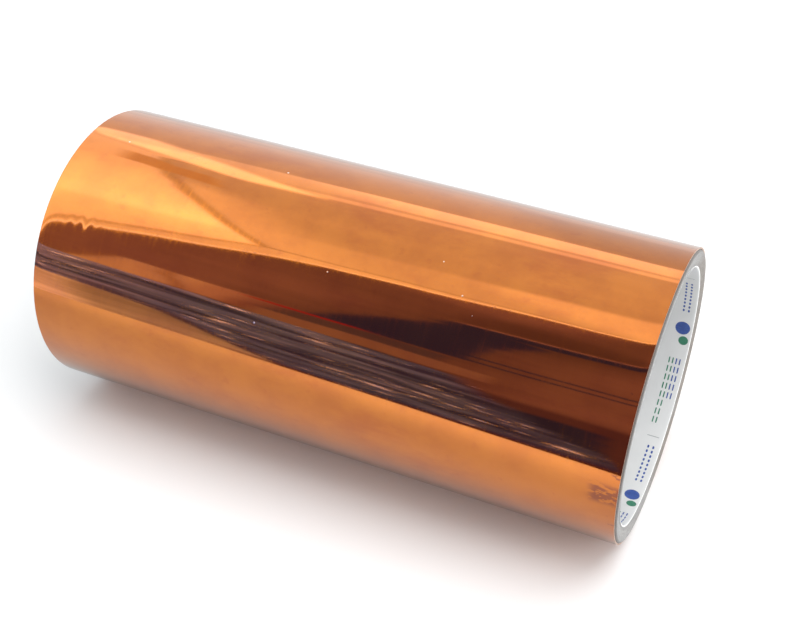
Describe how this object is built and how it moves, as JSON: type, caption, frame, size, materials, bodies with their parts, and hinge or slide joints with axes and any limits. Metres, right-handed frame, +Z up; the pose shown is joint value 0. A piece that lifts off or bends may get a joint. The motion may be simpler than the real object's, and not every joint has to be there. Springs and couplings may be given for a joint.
{
  "type": "copper foil tape roll",
  "caption": "Wide roll of copper-coloured mirror tape wound on a grey board core with a white lined bore, lying on its side, with a loose end that peels up.",
  "frame": {"origin": "centre of the roll's footprint on the floor, under the middle of the roll", "axes": "+X along the roll's axis, +Y towards the back, where the loose end is, +Z up"},
  "size_m": [0.1848, 0.088, 0.0879],
  "materials": {
    "printed_liner_paper": "smooth coated white paper",
    "grey_core_board": "matte grey recycled board, cut edges",
    "clear_adhesive": "clear tacky acrylic adhesive",
    "copper_foil": "bright rolled metal foil",
    "copper_tinted_film": "mirror-glossy copper-tinted film"
  },
  "bodies": {
    "roll": {"core_liner_ply": "printed_liner_paper", "core_board_ply_1": "grey_core_board", "core_board_ply_2": "grey_core_board", "core_board_ply_3": "grey_core_board", "core_board_ply_4": "grey_core_board", "core_board_ply_5": "grey_core_board", "core_board_ply_6": "grey_core_board", "core_board_ply_7": "grey_core_board", "core_board_ply_8": "grey_core_board", "tape_adhesive": "clear_adhesive", "tape_foil": "copper_foil", "tape_face_film": "copper_tinted_film"},
    "loose_end": {"tail_adhesive": "clear_adhesive", "tail_foil": "copper_foil", "tail_face_film": "copper_tinted_film"}
  },
  "joints": [
    {"name": "tail_peel", "type": "hinge", "parent": "roll", "child": "loose_end", "pos_m": [0, 0.03471, 0.07105], "axis": [1, 0, 0], "range_deg": [0, 80]}
  ]
}
